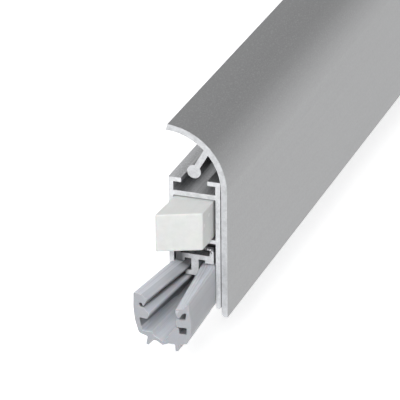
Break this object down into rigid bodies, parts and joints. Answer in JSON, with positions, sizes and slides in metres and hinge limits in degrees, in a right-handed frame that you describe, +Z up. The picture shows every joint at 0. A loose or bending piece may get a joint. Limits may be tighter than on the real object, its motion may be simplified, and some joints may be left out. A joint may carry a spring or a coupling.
{
  "type": "automatic door bottom seal",
  "caption": "Slim aluminium housing for the foot of a door with a curved cover, a side plunger and a rubber seal on a carrier bar that drops when the plunger is pushed in.",
  "frame": {"origin": "on the door face, midway between the brackets' two screw holes", "axes": "+X along the door from the plunger end to the far end, +Y into the door leaf, +Z up"},
  "size_m": [0.3756, 0.0173, 0.0489],
  "materials": {
    "anodised_aluminium": "matt anodised extrusion",
    "satin_aluminium": "satin anodised, fine lengthwise grain",
    "white_plastic": "moulded, matt",
    "zinc_steel": "zinc plated",
    "bright_steel": "bright drawn",
    "dark_steel": "dark plated",
    "grey_rubber": "semi-matt, fine lengthwise ridges"
  },
  "bodies": {
    "housing": {"housing_profile": "anodised_aluminium", "cover_profile": "satin_aluminium", "mounting_bracket_near": "zinc_steel", "mounting_bracket_far": "zinc_steel", "bracket_clamp_screws": "dark_steel", "cover_clip_near": "white_plastic", "cover_clip_middle": "white_plastic", "cover_clip_far": "white_plastic", "bearing_block_near": "white_plastic", "bearing_block_far": "white_plastic", "lever_axle_near": "bright_steel", "lever_axle_far": "bright_steel", "guide_block": "white_plastic", "case_screws": "dark_steel", "return_spring": "bright_steel"},
    "plunger_body": {"plunger": "white_plastic", "plunger_rod": "bright_steel", "lock_nut": "bright_steel", "push_bar": "zinc_steel"},
    "lever_near_body": {"lever_near": "zinc_steel", "drive_pin_near": "bright_steel", "lift_pin_near": "bright_steel"},
    "lever_far_body": {"lever_far": "zinc_steel", "drive_pin_far": "bright_steel", "lift_pin_far": "bright_steel"},
    "seal": {"carrier_profile": "anodised_aluminium", "lift_shoe_near": "zinc_steel", "lift_shoe_far": "zinc_steel", "shoe_screws": "dark_steel", "seal_rubber": "grey_rubber"}
  },
  "joints": [
    {"name": "plunger_slide", "type": "slide", "parent": "housing", "child": "plunger_body", "axis": [1, 0, 0], "range_m": [0, 0.00393], "stiffness_N_per_m": 1500, "springref_m": -0.006, "deforming": ["return_spring"]},
    {"name": "lever_near_turn", "type": "hinge", "parent": "housing", "child": "lever_near_body", "pos_m": [-0.09, 0, -0.0193], "axis": [0, 1, 0], "range_deg": [0, 40]},
    {"name": "lever_far_turn", "type": "hinge", "parent": "housing", "child": "lever_far_body", "pos_m": [0.06, 0, -0.0193], "axis": [0, 1, 0], "range_deg": [0, 40]},
    {"name": "seal_drop", "type": "slide", "parent": "housing", "child": "seal", "axis": [0, 0, -1], "range_m": [0, 0.0111]}
  ],
  "couplings": [
    {"joint": "lever_near_turn", "follows": "plunger_slide", "rad_per_m": 177.5},
    {"joint": "lever_far_turn", "follows": "plunger_slide", "rad_per_m": 177.5},
    {"joint": "seal_drop", "follows": "plunger_slide", "ratio": 2.822}
  ]
}
